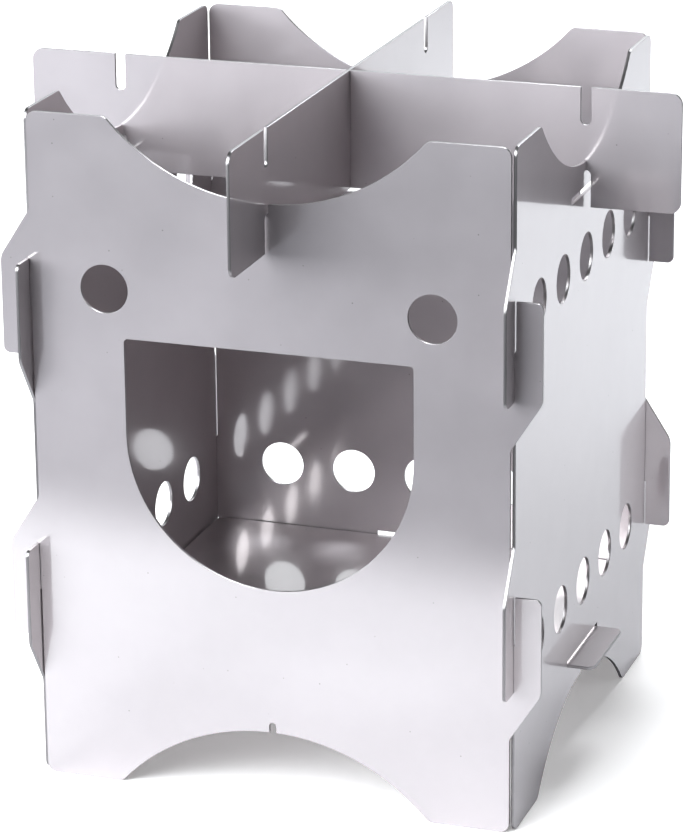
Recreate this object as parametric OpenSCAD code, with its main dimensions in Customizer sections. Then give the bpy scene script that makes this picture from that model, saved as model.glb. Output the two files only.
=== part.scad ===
// Flat-pack hobo stove: four side panels, a floor plate and two pot bars, all cut from flat
// stainless sheet and held together by slots. Millimetres, +Z up, origin on the ground under
// the middle of the stove, the panel with the fuel window facing -Y.

/* [Side panels] */
// Distance between the middle planes of two facing panels
plan_w = 150; // [140:1:200]
// Height of a panel, from its feet to its shoulders
panel_h = 210; // [180:1:260]
// Thickness of the sheet that every piece is cut from
sheet_t = 1; // [0.8:0.1:1.5]
// Radius of a foot's and a shoulder's outer corner
foot_r = 3; // [1:0.5:5]

/* [Corner wings] */
// Reach of a wing past the middle plane of the next panel
wing_reach = 8.8; // [7:0.1:14]
// Height of a wing's straight part, of which half is slotted
wing_h = 30; // [22:1:32]
// Height of a wing's taper
taper_h = 15; // [12:1:17]
// Height above the ground at which the straight part of a lower wing starts
wing_z = 45; // [40:1:50]
// Corner radius at the square end of a wing
wing_corner_r = 2; // [0.5:0.5:3]
// Radius of the bend from a wing's straight part to its taper
wing_bend_r = 6; // [2:0.5:8]
// Radius where a taper runs out into the panel's edge
wing_root_r = 3; // [1:0.5:4]
// Clearance on each side of a sheet in a corner slot, and at a corner
corner_gap = 0.3; // [0.1:0.05:0.4]

/* [Scoops and arches] */
// Radius of the scoop at a panel's top and of the arch at its bottom
scoop_r = 65.5; // [60:0.5:80]
// Depth of a scoop, and height of an arch
scoop_deep = 22.5; // [15:0.5:24]
// Radius of the lip between a scoop and a shoulder
lip_r = 3; // [1:0.5:5]
// Width of the notch in the middle of a scoop, where a pot bar sits
notch_w = 2.2; // [2:0.1:3]

/* [Vents] */
// Diameter of a vent hole
vent_d = 15; // [8:0.5:18]
// Distance from one vent hole to the next in a row
vent_pitch = 25.4; // [20:0.2:28]
// Distance of a row of vents from the nearest end of the panel
vent_edge = 52.5; // [48:0.5:55]

/* [Fuel window] */
// Width of the fuel window
window_w = 90; // [60:1:100]
// Distance of the window's straight top edge below the shoulders
window_drop = 67.3; // [65:0.1:75]
// Height of the window's straight sides, above its round bottom
window_side_h = 29.5; // [20:0.5:40]
// Radius of the window's two top corners
window_corner_r = 1.2; // [0.5:0.1:6]

/* [Floor plate] */
// Height of the floor slots' lower edge above the ground
slot_z = 30; // [28:0.5:32]
// Height of a floor slot
slot_h = 2.2; // [2:0.1:3]
// Length of a floor slot
slot_len = 34.4; // [20:0.2:45]
// Clearance at each end of a tab in its slot
tab_gap = 0.5; // [0.2:0.1:1]
// Reach of a tab past the middle plane of its panel
tab_reach = 8.8; // [4:0.1:14]
// Radius of a tab's outer corners
tab_corner_r = 2.5; // [0.5:0.5:4]
// Clearance between the plate's edge and a panel
plate_gap = 0.5; // [0.2:0.1:1.5]

/* [Pot bars] */
// Length of a pot bar
bar_len = 209; // [190:1:260]
// Height of a pot bar
bar_h = 37; // [35:0.5:44]
// Depth of the slots near a bar's ends, above and below
bar_slot_deep = 11.6; // [11:0.1:14]
// Width of the slots near a bar's ends
bar_slot_w = 3.4; // [2.6:0.1:5]
// Clearance between a bar's slot end and the notch that it sits in
seat_gap = 0.25; // [0.25:0.05:0.5]
// Clearance on each side and at the bottom of the slots where the bars cross
cross_gap = 0.2; // [0.1:0.05:0.4]
// Radius of a bar's corners
bar_corner_r = 3.5; // [1:0.5:6]

/* [Hidden] */
$fn = 96;
scoop_fn = 288;
corner_steps = 8;
vent_columns = [-2, -1, 0, 1, 2];
end_columns = [-2, 2];
cut_over = 1;

// Plan of the corners: the main edges stop short of the next panel, and the wings pass it
half_w = plan_w / 2;
edge_x = half_w - sheet_t / 2 - corner_gap;
tip_x = half_w + wing_reach;
corner_slot_w = sheet_t + 2 * corner_gap;
wing_zs = [wing_z, panel_h - wing_z - wing_h];

// A bar's top is level with the shoulders, and its lower slots sit in the scoops' notches
bar_z = panel_h - bar_h;
bar_seat_z = bar_z + bar_slot_deep;
notch_z = bar_seat_z - seat_gap;
cross_w = sheet_t + 2 * cross_gap;
cross_deep = bar_h / 2 + cross_gap;

// The scoop's circle, and the lip arcs that touch both it and the top edge
scoop_cz = panel_h - scoop_deep + scoop_r;
lip_rise = scoop_r - scoop_deep + lip_r;
lip_x = sqrt(pow(scoop_r + lip_r, 2) - pow(lip_rise, 2));
lip_a = atan2(lip_rise, lip_x);

window_top_z = panel_h - window_drop;
window_cz = window_top_z - window_side_h;

plate_half = half_w - sheet_t / 2 - plate_gap;
tab_half = slot_len / 2 - tab_gap;
tab_x = half_w + tab_reach;

function unit(v) = v / norm(v);

// Points along an arc about c, from angle a to angle b
function arc(c, r, a, b) =
    [for (i = [0:corner_steps]) c + r * [cos(a + (b - a) * i / corner_steps),
                                         sin(a + (b - a) * i / corner_steps)]];

// The rounded corner at p, on a path that comes from p0 and goes on to p1
function corner(p0, p, p1, r) =
    let (u = unit(p0 - p),
         v = unit(p1 - p),
         open_a = acos(u * v) / 2,
         c = p + unit(u + v) * r / sin(open_a),
         from_c = p + u * r / tan(open_a) - c,
         a = atan2(from_c[1], from_c[0]),
         way = u[0] * v[1] - u[1] * v[0] > 0 ? -1 : 1)
    arc(c, r, a, a + way * (180 - 2 * open_a));

// The rounded corners of an open path of [x, z, radius] rows, less its two end rows
function rounded(path) =
    [for (i = [1:len(path) - 2])
        each corner([path[i - 1][0], path[i - 1][1]], [path[i][0], path[i][1]],
                    [path[i + 1][0], path[i + 1][1]], path[i][2])];

// A piece's corners come round again on the other side of its middle
function turned(points, middle) = [for (p = points) 2 * middle - p];

// Left edge of a panel, seen from outside: each wing is square below and tapers above
function wing_path(z) = [
    [-edge_x, z, 0],
    [-tip_x, z, wing_corner_r],
    [-tip_x, z + wing_h, wing_bend_r],
    [-edge_x, z + wing_h + taper_h, wing_root_r]];

function wing_points(z) =
    let (w = wing_path(z))
    concat([[w[0][0], w[0][1]]], rounded(concat(w, [[-edge_x, panel_h, 0]])));

left_foot = rounded([[0, 0, 0], [-edge_x, 0, foot_r], [-edge_x, panel_h, 0]]);
left_shoulder = rounded([[-edge_x, 0, 0], [-edge_x, panel_h, foot_r], [0, panel_h, 0]]);
left_side = concat(left_foot, wing_points(wing_zs[0]), wing_points(wing_zs[1]), left_shoulder);

// The two lips of the scoop, with the scoop itself cut out later
lips = concat(arc([-lip_x, panel_h - lip_r], lip_r, 90, lip_a),
              arc([lip_x, panel_h - lip_r], lip_r, 180 - lip_a, 90));
half_outline = concat(left_side, lips);
panel_outline = concat(half_outline, turned(half_outline, [0, panel_h / 2]));

// Draws its children at the top of a panel and again, turned over, at the bottom
module at_both_ends() {
    children();
    translate([0, panel_h]) rotate(180) children();
}

// The scoop's disc and the round-ended notch below it
module scoop() {
    translate([0, scoop_cz]) circle(r = scoop_r, $fn = scoop_fn);
    translate([0, notch_z + notch_w / 2]) circle(d = notch_w);
    translate([-notch_w / 2, notch_z + notch_w / 2]) square([notch_w, scoop_deep]);
}

// The corner slots: open below in the left wings and open above in the right ones
module corner_slots() {
    for (z = wing_zs) {
        translate([-half_w - corner_slot_w / 2, z - cut_over])
            square([corner_slot_w, wing_h / 2 + cut_over]);
        translate([half_w - corner_slot_w / 2, z + wing_h / 2])
            square([corner_slot_w, wing_h / 2 + cut_over]);
    }
}

module vent_row(columns) {
    for (i = columns) translate([i * vent_pitch, panel_h - vent_edge]) circle(d = vent_d);
}

module floor_slot() {
    translate([-slot_len / 2, slot_z]) square([slot_len, slot_h]);
}

// What every side panel has in common
module panel_blank() {
    difference() {
        polygon(panel_outline);
        at_both_ends() scoop();
        corner_slots();
    }
}

module plain_panel_2d() {
    difference() {
        panel_blank();
        at_both_ends() vent_row(vent_columns);
        at_both_ends() floor_slot();
    }
}

// Straight top and sides, with a half circle below
module fuel_window_2d() {
    intersection() {
        translate([0, window_cz]) circle(d = window_w);
        translate([-window_w / 2, window_cz - window_w / 2]) square([window_w, window_w / 2]);
    }
    polygon(concat([[-window_w / 2, window_cz]],
                   rounded([[-window_w / 2, window_cz, 0],
                            [-window_w / 2, window_top_z, window_corner_r],
                            [window_w / 2, window_top_z, window_corner_r],
                            [window_w / 2, window_cz, 0]]),
                   [[window_w / 2, window_cz]]));
}

module front_panel_2d() {
    difference() {
        panel_blank();
        vent_row(end_columns);
        fuel_window_2d();
    }
}

// Stands a flat drawing up in the plane y = 0, seen from -Y
module upright() {
    rotate([90, 0, 0]) linear_extrude(height = sheet_t, center = true) children();
}

// Stands a panel on its side of the stove, turned about the middle
module side(turn) {
    rotate([0, 0, turn]) translate([0, -half_w, 0]) upright() children();
}

module front_panel() {
    color([0.80, 0.79, 0.81]) side(0) front_panel_2d();
}

module right_panel() {
    color([0.86, 0.86, 0.88]) side(90) plain_panel_2d();
}

module back_panel() {
    color([0.66, 0.65, 0.68]) side(180) plain_panel_2d();
}

module left_panel() {
    color([0.70, 0.69, 0.72]) side(270) plain_panel_2d();
}

// Half of the plate's outline: its left corners and the tab between them
plate_side = rounded([
    [0, -plate_half, 0],
    [-plate_half, -plate_half, tab_corner_r],
    [-plate_half, -tab_half, plate_gap / 2],
    [-tab_x, -tab_half, tab_corner_r],
    [-tab_x, tab_half, tab_corner_r],
    [-plate_half, tab_half, plate_gap / 2],
    [-plate_half, plate_half, tab_corner_r],
    [0, plate_half, 0]]);

module floor_plate() {
    color([0.74, 0.73, 0.76]) translate([0, 0, slot_z]) linear_extrude(height = sheet_t)
        polygon(concat(plate_side, turned(plate_side, [0, 0])));
}

// A slot in a bar's lower edge: its sides, and its round end
module bar_slot() {
    translate([-bar_slot_w / 2, -cut_over])
        square([bar_slot_w, bar_slot_deep - bar_slot_w / 2 + cut_over]);
    translate([0, bar_slot_deep - bar_slot_w / 2]) circle(d = bar_slot_w);
}

bar_end = rounded([
    [0, 0, 0],
    [-bar_len / 2, 0, bar_corner_r],
    [-bar_len / 2, bar_h, bar_corner_r],
    [0, bar_h, 0]]);

// A pot bar from its lower edge up, with its crossing slot open at the bottom
module bar_2d() {
    difference() {
        polygon(concat(bar_end, turned(bar_end, [0, bar_h / 2])));
        for (x = [-half_w, half_w]) {
            translate([x, 0]) bar_slot();
            translate([x, bar_h]) rotate(180) bar_slot();
        }
        translate([-cross_w / 2, -cut_over]) square([cross_w, cross_deep + cut_over]);
    }
}

module left_right_bar() {
    color([0.78, 0.77, 0.80]) translate([0, 0, bar_z])
        upright() translate([0, bar_h]) rotate(180) bar_2d();
}

module front_back_bar() {
    color([0.62, 0.60, 0.63]) translate([0, 0, bar_z]) rotate([0, 0, 90]) upright() bar_2d();
}

front_panel();
back_panel();
left_panel();
right_panel();
floor_plate();
left_right_bar();
front_back_bar();
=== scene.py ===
# Flat-pack hobo stove in bright rolled stainless sheet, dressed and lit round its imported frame.
import math

import bmesh
import bpy
from mathutils import Matrix, Vector


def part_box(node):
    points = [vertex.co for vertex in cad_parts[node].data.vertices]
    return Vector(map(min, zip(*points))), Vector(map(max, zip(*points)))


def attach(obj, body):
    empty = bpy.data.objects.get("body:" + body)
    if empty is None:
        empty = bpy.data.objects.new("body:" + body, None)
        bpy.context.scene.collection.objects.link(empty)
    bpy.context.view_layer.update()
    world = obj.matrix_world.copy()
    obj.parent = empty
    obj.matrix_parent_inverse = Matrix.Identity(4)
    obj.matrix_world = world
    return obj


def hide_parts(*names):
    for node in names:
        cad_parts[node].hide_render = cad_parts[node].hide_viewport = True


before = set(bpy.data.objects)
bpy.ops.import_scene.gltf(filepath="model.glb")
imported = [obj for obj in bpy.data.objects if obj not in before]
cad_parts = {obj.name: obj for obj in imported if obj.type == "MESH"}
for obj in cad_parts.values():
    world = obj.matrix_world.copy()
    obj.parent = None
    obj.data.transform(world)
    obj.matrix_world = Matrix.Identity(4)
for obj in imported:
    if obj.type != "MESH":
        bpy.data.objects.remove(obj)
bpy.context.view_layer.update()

mm = 0.001                     # the frame is in metres
scene = bpy.context.scene
print("frame loaded:", ", ".join(sorted(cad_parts)))


# Camera, fitted to the photograph's corners, holes, slots and outlines

cameraView = {
    "imageWide": 685,
    "imageTall": 833,
    "focalPixels": 3786.8,
    "centrePixel": (342.5, 331.4),     # where the optical axis meets the picture
    "azimuth": 19.237,                 # degrees, as are the next two
    "elevation": 17.449,
    "roll": -0.565,
    "distance": 1178.5 * mm,
    "target": (-2.85 * mm, 0.0, 126.3 * mm),
    "sensor": 36.0,                    # mm, along the longer side of the picture
    "clipStart": 10 * mm,
    "clipEnd": 50,                     # m
}


def makeCamera(v):
    a, e, r = (math.radians(v[k]) for k in ("azimuth", "elevation", "roll"))
    back = Vector((math.sin(a) * math.cos(e), -math.cos(a) * math.cos(e), math.sin(e)))
    level = Vector((math.cos(a), math.sin(a), 0))
    upright = back.cross(level)
    right = math.cos(r) * level + math.sin(r) * upright
    up = math.cos(r) * upright - math.sin(r) * level
    longSide = max(v["imageWide"], v["imageTall"])
    data = bpy.data.cameras.new("photoCamera")
    data.sensor_width = v["sensor"]
    data.lens = v["focalPixels"] * v["sensor"] / longSide
    data.shift_x = (v["imageWide"] / 2 - v["centrePixel"][0]) / longSide
    data.shift_y = (v["centrePixel"][1] - v["imageTall"] / 2) / longSide
    data.clip_start = v["clipStart"]
    data.clip_end = v["clipEnd"]
    camera = bpy.data.objects.new("photoCamera", data)
    scene.collection.objects.link(camera)
    camera.matrix_world = Matrix((
        (right.x, up.x, back.x, 0), (right.y, up.y, back.y, 0),
        (right.z, up.z, back.z, 0), (0, 0, 0, 1)))
    camera.location = Vector(v["target"]) + back * v["distance"]
    scene.camera = camera


makeCamera(cameraView)
print("camera placed")


# Materials

# sRGB hex to the linear colour of a socket
def linear(hexColour):
    parts = [int(hexColour[i:i + 2], 16) / 255 for i in (1, 3, 5)]
    return [p / 12.92 if p <= 0.04045 else ((p + 0.055) / 1.055) ** 2.4 for p in parts] + [1]


# One node with its settings, and its inputs as values or as another node's socket
def addNode(tree, kind, settings=None, inputs=None):
    node = tree.nodes.new(kind)
    for name, value in (settings or {}).items():
        setattr(node, name, value)
    for name, value in (inputs or {}).items():
        if isinstance(value, bpy.types.NodeSocket):
            tree.links.new(value, node.inputs[name])
        else:
            node.inputs[name].default_value = value
    return node


def newMaterial(name):
    material = bpy.data.materials.new(name)
    material.use_nodes = True
    material.node_tree.nodes.clear()
    return material, material.node_tree


# Stainless 304 in cold-rolled 2B finish: a mirror under a haze. The smooth grains of the sheet mirror
# what is near with sharp outlines, and the pickled ones between them scatter the light to a pale grey.
sheetSteel = {
    "mirrorColour": "#cdc7c7",
    "hazeColour": "#d1c9cd",       # the scattered light comes back a little warmer than the mirrored
    "speckColour": "#7d7678",
    "mirrorRoughness": 0.07,
    "glowRoughness": 0.28,         # the soft glow round a mirrored light; at 0.25 the denoised picture
                                   # had crinkled marks on sheets seen at a flat angle
    "glowShare": 0.3,              # of the mirrored light
    "hazeRoughness": 0.6,
    "grazeLoss": 0.6,              # the part of the haze that is gone at the flattest view
    "cloudShare": 0.03,            # more or less haze on a cloudy or a clear part
    "cloudSize": 24,               # mm across a cloud of the haze
    "cloudDetail": 3,
    "cloudNoise": (0.35, 0.65),    # the noise values of the clearest and the cloudiest part
    "smudgeRoughness": 0.04,       # added where the sheet was handled
    "smudgeSize": 38,              # mm across a smudge
    "smudgeDetail": 2,
    "smudgeNoise": (0.4, 0.7),     # the noise values of a clean part and of a full smudge
    "speckPitch": 7,               # mm between specks of scale, in depth too, so that few lie on a face
    "speckRadius": 0.3,            # mm
    "waveSize": 60,                # mm from one shallow wave of the sheet to the next
    "waveDepth": 0.008,            # mm
}

# The same steel where the laser cut it: greyer and duller than the face, finely scored across the sheet
cutSteel = {
    "colour": "#8f8b8c",
    "roughness": 0.35,
    "scoreWidth": 0.25,            # mm
    "scoreLength": 4,              # mm, longer than the sheet is thick
    "scoreDepth": 0.0015,          # mm
}


# hazeShare is the part of the light that this sheet scatters, seen face on
def rolledSteel(name, s, hazeShare):
    material, tree = newMaterial(name)
    place = addNode(tree, "ShaderNodeTexCoord").outputs["Object"]

    cloud = addNode(tree, "ShaderNodeTexNoise", None, {
        "Vector": place, "Scale": 1 / (s["cloudSize"] * mm), "Detail": s["cloudDetail"]})
    faceOn = addNode(tree, "ShaderNodeMapRange", None, {
        "Value": cloud.outputs["Fac"],
        "From Min": s["cloudNoise"][0], "From Max": s["cloudNoise"][1],
        "To Min": hazeShare - s["cloudShare"], "To Max": hazeShare + s["cloudShare"]})
    facing = addNode(tree, "ShaderNodeLayerWeight", None, {"Blend": 0.5})
    fade = addNode(tree, "ShaderNodeMapRange", None, {
        "Value": facing.outputs["Facing"], "To Min": 1.0, "To Max": 1 - s["grazeLoss"]})
    scattered = addNode(tree, "ShaderNodeMath", {"operation": "MULTIPLY"}, {
        0: faceOn.outputs["Result"], 1: fade.outputs["Result"]})

    smudge = addNode(tree, "ShaderNodeTexNoise", None, {
        "Vector": place, "Scale": 1 / (s["smudgeSize"] * mm), "Detail": s["smudgeDetail"]})
    smudged = addNode(tree, "ShaderNodeMapRange", {"interpolation_type": "SMOOTHSTEP"}, {
        "Value": smudge.outputs["Fac"],
        "From Min": s["smudgeNoise"][0], "From Max": s["smudgeNoise"][1],
        "To Min": s["mirrorRoughness"], "To Max": s["mirrorRoughness"] + s["smudgeRoughness"]})

    speck = addNode(tree, "ShaderNodeTexVoronoi", None, {
        "Vector": place, "Scale": 1 / (s["speckPitch"] * mm)})
    specks = addNode(tree, "ShaderNodeMapRange", None, {
        "Value": speck.outputs["Distance"],
        "From Min": s["speckRadius"] / s["speckPitch"], "From Max": 0.0})
    mirrorColour, hazeColour = [addNode(tree, "ShaderNodeMixRGB", None, {
        "Fac": specks.outputs["Result"], "Color1": linear(s[colour]),
        "Color2": linear(s["speckColour"])}).outputs["Color"]
        for colour in ("mirrorColour", "hazeColour")]

    wave = addNode(tree, "ShaderNodeTexNoise", None, {
        "Vector": place, "Scale": 1 / (s["waveSize"] * mm), "Detail": 0})
    waves = addNode(tree, "ShaderNodeBump", None, {
        "Height": wave.outputs["Fac"], "Distance": s["waveDepth"] * mm})

    lobes = (
        (mirrorColour, smudged.outputs["Result"]),
        (mirrorColour, s["glowRoughness"]),
        (hazeColour, s["hazeRoughness"]))
    mirror, glow, haze = [addNode(tree, "ShaderNodeBsdfPrincipled", None, {
        "Base Color": colour, "Metallic": 1.0, "Roughness": roughness,
        "Normal": waves.outputs["Normal"]}).outputs["BSDF"]
        for colour, roughness in lobes]
    mirrored = addNode(tree, "ShaderNodeMixShader", None, {0: s["glowShare"], 1: mirror, 2: glow})
    surface = addNode(tree, "ShaderNodeMixShader", None, {
        0: scattered.outputs["Value"], 1: mirrored.outputs["Shader"], 2: haze})
    addNode(tree, "ShaderNodeOutputMaterial", None, {"Surface": surface.outputs["Shader"]})
    return material


# The scores run along thinAxis, through the thickness of the sheet
def laserCutSteel(name, s, thinAxis):
    material, tree = newMaterial(name)
    place = addNode(tree, "ShaderNodeTexCoord").outputs["Object"]
    stretch = [1 / (s["scoreWidth"] * mm)] * 3
    stretch[thinAxis] = 1 / (s["scoreLength"] * mm)
    scorePlace = addNode(tree, "ShaderNodeMapping", None, {"Vector": place, "Scale": stretch})
    score = addNode(tree, "ShaderNodeTexNoise", None, {
        "Vector": scorePlace.outputs["Vector"], "Scale": 1, "Detail": 1})
    scores = addNode(tree, "ShaderNodeBump", None, {
        "Height": score.outputs["Fac"], "Distance": s["scoreDepth"] * mm})
    shader = addNode(tree, "ShaderNodeBsdfPrincipled", None, {
        "Base Color": linear(s["colour"]), "Metallic": 1.0, "Roughness": s["roughness"],
        "Normal": scores.outputs["Normal"]})
    addNode(tree, "ShaderNodeOutputMaterial", None, {"Surface": shader.outputs["BSDF"]})
    return material


edgeSteels = [laserCutSteel("laserCutStainless" + axis, cutSteel, i) for i, axis in enumerate("XYZ")]
print("materials made")


# Sheets: each piece is its packed sheet, with the cut edges softened as a deburred edge is

sheetEdge = {
    "burr": 0.05 * mm,         # width of the softened edge
    "segments": 2,
    "sharpAngle": 30,          # degrees between faces above which an edge is softened
    "weld": 0.002 * mm,
    "flatAngle": 0.3,          # degrees under which faces are one flat
    "flatFacing": 0.999,       # a face turned outwards at least this squarely is not cut edge
}

# haze is the part of the light that the sheet scatters, matched sheet by sheet
sheets = {
    "frontPanelSheet": {
        "node": "front_panel", "body": "firebox", "slot": "panel_steel", "haze": 0.37},
    "backPanelSheet": {
        "node": "back_panel", "body": "firebox", "slot": "panel_steel", "haze": 0.51},
    "leftPanelSheet": {
        "node": "left_panel", "body": "firebox", "slot": "panel_steel", "haze": 0.43},
    "rightPanelSheet": {
        "node": "right_panel", "body": "firebox", "slot": "panel_steel", "haze": 0.46},
    "floorPlateSheet": {
        "node": "floor_plate", "body": "firebox", "slot": "plate_steel", "haze": 0.45},
    "leftRightBarSheet": {
        "node": "left_right_bar", "body": "lower_bar", "slot": "bar_steel", "haze": 0.55},
    "frontBackBarSheet": {
        "node": "front_back_bar", "body": "upper_bar", "slot": "bar_steel", "haze": 0.45},
}


def makeSheet(name, s, edge):
    low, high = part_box(s["node"])
    thinAxis = min(range(3), key=lambda i: high[i] - low[i])
    bm = bmesh.new()
    bm.from_mesh(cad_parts[s["node"]].data)
    bmesh.ops.remove_doubles(bm, verts=bm.verts, dist=edge["weld"])
    bmesh.ops.dissolve_limit(bm, angle_limit=math.radians(edge["flatAngle"]),
                             verts=bm.verts, edges=bm.edges)
    sharp = [e for e in bm.edges if e.calc_face_angle(0) > math.radians(edge["sharpAngle"])]
    bmesh.ops.bevel(bm, geom=sharp, offset=edge["burr"], offset_type="OFFSET",
                    segments=edge["segments"], profile=0.5, affect="EDGES", material=-1,
                    clamp_overlap=True)
    for face in bm.faces:
        isFlat = abs(face.normal[thinAxis]) > edge["flatFacing"]
        face.material_index = 0 if isFlat else 1
        face.smooth = not isFlat
    mesh = bpy.data.meshes.new(name)
    bm.to_mesh(mesh)
    bm.free()
    mesh.materials.append(rolledSteel(name + "Steel", sheetSteel, s["haze"]))
    mesh.materials.append(edgeSteels[thinAxis])
    piece = bpy.data.objects.new(name, mesh)
    scene.collection.objects.link(piece)
    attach(piece, s["body"])
    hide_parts(s["node"])
    print(name, len(mesh.polygons), "faces")


for sheetName, sheetSettings in sheets.items():
    makeSheet(sheetName, sheetSettings, sheetEdge)


# Studio: a pale floor and soft light. To the camera the floor is all one pale paper. In the mirror of
# the steel the paper is a sheet with edges, on a darker table with a painted shadow and a painted pool
# of light, and the steel draws its greys from that.

studio = {
    "floorSize": 14,                          # m
    "floorDrop": 0.02 * mm,                   # below the feet
    "floor": "#f4efee",
    "paper": "#edecee",
    "paperCentre": (98 * mm, 378 * mm, 0),
    "paperTurn": (0, 0, math.radians(5)),
    "paperReach": (390 * mm, 642 * mm, 0),    # half its width and half its length
    "paperBlur": 45 * mm,                     # half the width of its soft edge
    "table": "#404043",
    "paintedShadeAndLightSpots": (                           # soft spots on the table: place, radius and colour
        # painted shadow: the table darkened in front of the stove, where the camera and its stand shade
        # it
        ((120 * mm, -560 * mm, 0), 330 * mm, "#202021"),
        # painted pool of light: the table lightened near the paper's front-left corner
        ((-240 * mm, -460 * mm, 0), 260 * mm, "#7e7d81")),
    "lightColour": "#f5fcff",
    "roomGlow": 0.03,
    # painted light: the floor glows to the camera, a little near the stove over its shadow and fully
    # far out
    "floorGlow": (0.25, 0.95),                # to the camera alone, near the stove and far out
    "glowReach": (0.6, 2.2),                  # m from the stove where it starts to rise and is full
    "roomColour": "#fdfdfd",                  # what the camera sees past the floor
}

# Softboxes: where each hangs, what it faces, its width and height in metres, and its glow
softboxes = {
    "backLeftSoftbox": {
        "place": (-0.8, 2.2, 0.8), "aim": (0, 0, 0.8), "size": (1.6, 1.6), "glow": 1.45},
    "backRightSoftbox": {
        "place": (1.0, 2.2, 0.8), "aim": (0, 0, 0.8), "size": (2.0, 1.6), "glow": 0.56},
    "backHighSoftbox": {
        "place": (0.0, 1.5, 1.7), "aim": (0, 0, 0.2), "size": (0.8, 0.8), "glow": 22.0},
    "frontLeftHighSoftbox": {
        "place": (-1.0, -1.0, 1.4), "aim": (0, 0, 0.1), "size": (1.2, 1.2), "glow": 2.7},
    "frontLeftLowSoftbox": {
        "place": (-1.5, -1.1, 0.5), "aim": (0, 0, 0.1), "size": (1.2, 0.8), "glow": 13.3},
    "frontMidSoftbox": {
        "place": (-0.6, -1.6, 1.4), "aim": (0, 0, 0.1), "size": (1.3, 1.1), "glow": 10.8},
    "frontLowSoftbox": {
        "place": (-0.7, -1.9, 0.7), "aim": (0, 0, 0.1), "size": (1.0, 0.7), "glow": 6.8},
    "rightSoftbox": {
        "place": (1.7, 0.5, 0.8), "aim": (0, 0, 0.1), "size": (1.4, 1.2), "glow": 1.5},
}


# The paper's colour inside its edges and the table's outside, with the table's painted shadow and
# painted pool of light, as the steel mirrors them
def paperOnTable(tree, place, s):
    centred = addNode(tree, "ShaderNodeMapping", {"vector_type": "TEXTURE"}, {
        "Vector": place, "Location": s["paperCentre"], "Rotation": s["paperTurn"]})
    folded = addNode(tree, "ShaderNodeVectorMath", {"operation": "ABSOLUTE"}, {
        0: centred.outputs["Vector"]})
    past = addNode(tree, "ShaderNodeVectorMath", {"operation": "SUBTRACT"}, {
        0: folded.outputs["Vector"], 1: s["paperReach"]})
    sides = addNode(tree, "ShaderNodeSeparateXYZ", None, {"Vector": past.outputs["Vector"]})
    outside = addNode(tree, "ShaderNodeMath", {"operation": "MAXIMUM"}, {
        0: sides.outputs["X"], 1: sides.outputs["Y"]})
    beyond = addNode(tree, "ShaderNodeMapRange", {"interpolation_type": "SMOOTHSTEP"}, {
        "Value": outside.outputs["Value"], "From Min": -s["paperBlur"], "From Max": s["paperBlur"]})
    table = linear(s["table"])
    # painted shade and light: each spot darkens or lightens the table's colour
    for centre, radius, colour in s["paintedShadeAndLightSpots"]:
        away = addNode(tree, "ShaderNodeVectorMath", {"operation": "DISTANCE"}, {
            0: place, 1: centre})
        spot = addNode(tree, "ShaderNodeMapRange", {"interpolation_type": "SMOOTHSTEP"}, {
            "Value": away.outputs["Value"], "From Min": radius, "From Max": 0.0})
        table = addNode(tree, "ShaderNodeMixRGB", None, {
            "Fac": spot.outputs["Result"], "Color1": table,
            "Color2": linear(colour)}).outputs["Color"]
    return addNode(tree, "ShaderNodeMixRGB", None, {
        "Fac": beyond.outputs["Result"], "Color1": linear(s["paper"]),
        "Color2": table}).outputs["Color"]


# A painted glow that only the camera sees: weak near the stove, where it lightens the floor's shadow,
# and full far out, so that the floor is pale far out too
def farGlow(tree, place, toCamera, s):
    far = addNode(tree, "ShaderNodeVectorMath", {"operation": "LENGTH"}, {0: place})
    rise = addNode(tree, "ShaderNodeMapRange", {"interpolation_type": "SMOOTHSTEP"}, {
        "Value": far.outputs["Value"],
        "From Min": s["glowReach"][0], "From Max": s["glowReach"][1],
        "To Min": s["floorGlow"][0], "To Max": s["floorGlow"][1]})
    strength = addNode(tree, "ShaderNodeMath", {"operation": "MULTIPLY"}, {
        0: toCamera, 1: rise.outputs["Result"]})
    return addNode(tree, "ShaderNodeEmission", None, {
        "Strength": strength.outputs["Value"]}).outputs["Emission"]


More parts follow.
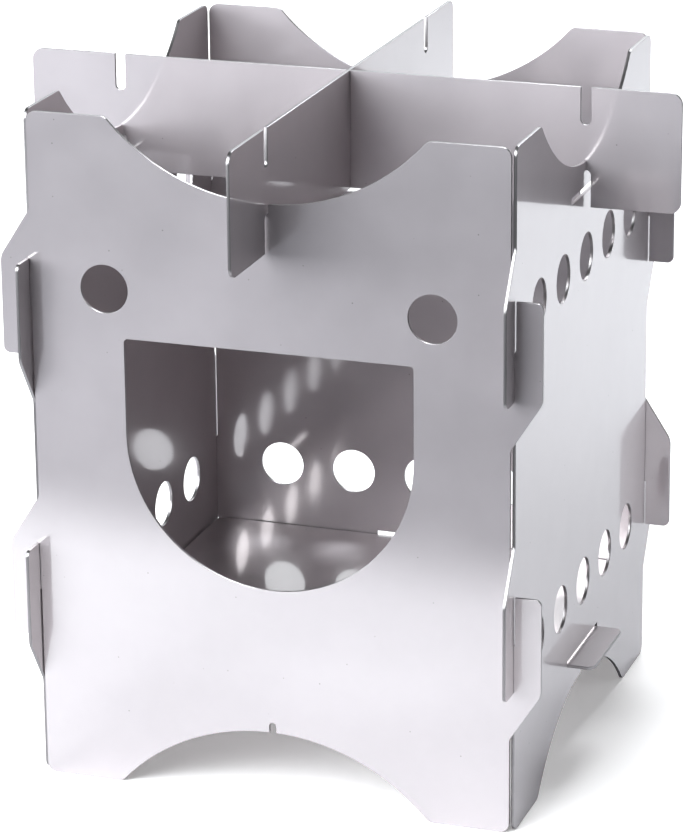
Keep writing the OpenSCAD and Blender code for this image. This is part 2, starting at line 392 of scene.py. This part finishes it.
def makeFloor(s):
    material, tree = newMaterial("palePaper")
    place = addNode(tree, "ShaderNodeTexCoord").outputs["Object"]
    toCamera = addNode(tree, "ShaderNodeLightPath").outputs["Is Camera Ray"]
    colour = addNode(tree, "ShaderNodeMixRGB", None, {
        "Fac": toCamera, "Color1": paperOnTable(tree, place, s), "Color2": linear(s["floor"])})
    diffuse = addNode(tree, "ShaderNodeBsdfDiffuse", None, {"Color": colour.outputs["Color"]})
    surface = addNode(tree, "ShaderNodeAddShader", None, {
        0: diffuse.outputs["BSDF"], 1: farGlow(tree, place, toCamera, s)})
    addNode(tree, "ShaderNodeOutputMaterial", None, {"Surface": surface.outputs["Shader"]})
    material.cycles.emission_sampling = "NONE"   # the glow is no lamp
    bm = bmesh.new()
    bmesh.ops.create_grid(bm, x_segments=1, y_segments=1, size=s["floorSize"] / 2,
                          matrix=Matrix.Translation((0, 0, -s["floorDrop"])))
    mesh = bpy.data.meshes.new("paleFloor")
    bm.to_mesh(mesh)
    bm.free()
    mesh.materials.append(material)
    floor = bpy.data.objects.new("paleFloor", mesh)
    scene.collection.objects.link(floor)


def makeRoom(s):
    world = bpy.data.worlds.new("softRoom")
    scene.world = world
    world.use_nodes = True
    tree = world.node_tree
    tree.nodes.clear()
    glow = addNode(tree, "ShaderNodeBackground", None, {
        "Color": linear(s["lightColour"]), "Strength": s["roomGlow"]})
    seen = addNode(tree, "ShaderNodeBackground", None, {
        "Color": linear(s["roomColour"]), "Strength": 1.0})
    toCamera = addNode(tree, "ShaderNodeLightPath").outputs["Is Camera Ray"]
    surface = addNode(tree, "ShaderNodeMixShader", None, {
        0: toCamera, 1: glow.outputs["Background"], 2: seen.outputs["Background"]})
    addNode(tree, "ShaderNodeOutputWorld", None, {"Surface": surface.outputs["Shader"]})


def makeSoftbox(name, s, colour):
    width, height = s["size"]
    data = bpy.data.lights.new(name, "AREA")
    data.shape = "RECTANGLE"
    data.size, data.size_y = width, height
    data.energy = s["glow"] * math.pi * width * height
    data.color = linear(colour)[:3]
    light = bpy.data.objects.new(name, data)
    scene.collection.objects.link(light)
    light.location = s["place"]
    aim = Vector(s["aim"]) - Vector(s["place"])
    light.rotation_euler = aim.to_track_quat("-Z", "Y").to_euler()


makeFloor(studio)
makeRoom(studio)
for softboxName, softboxSettings in softboxes.items():
    makeSoftbox(softboxName, softboxSettings, studio["lightColour"])
scene.view_settings.view_transform = "Standard"
print("studio made")
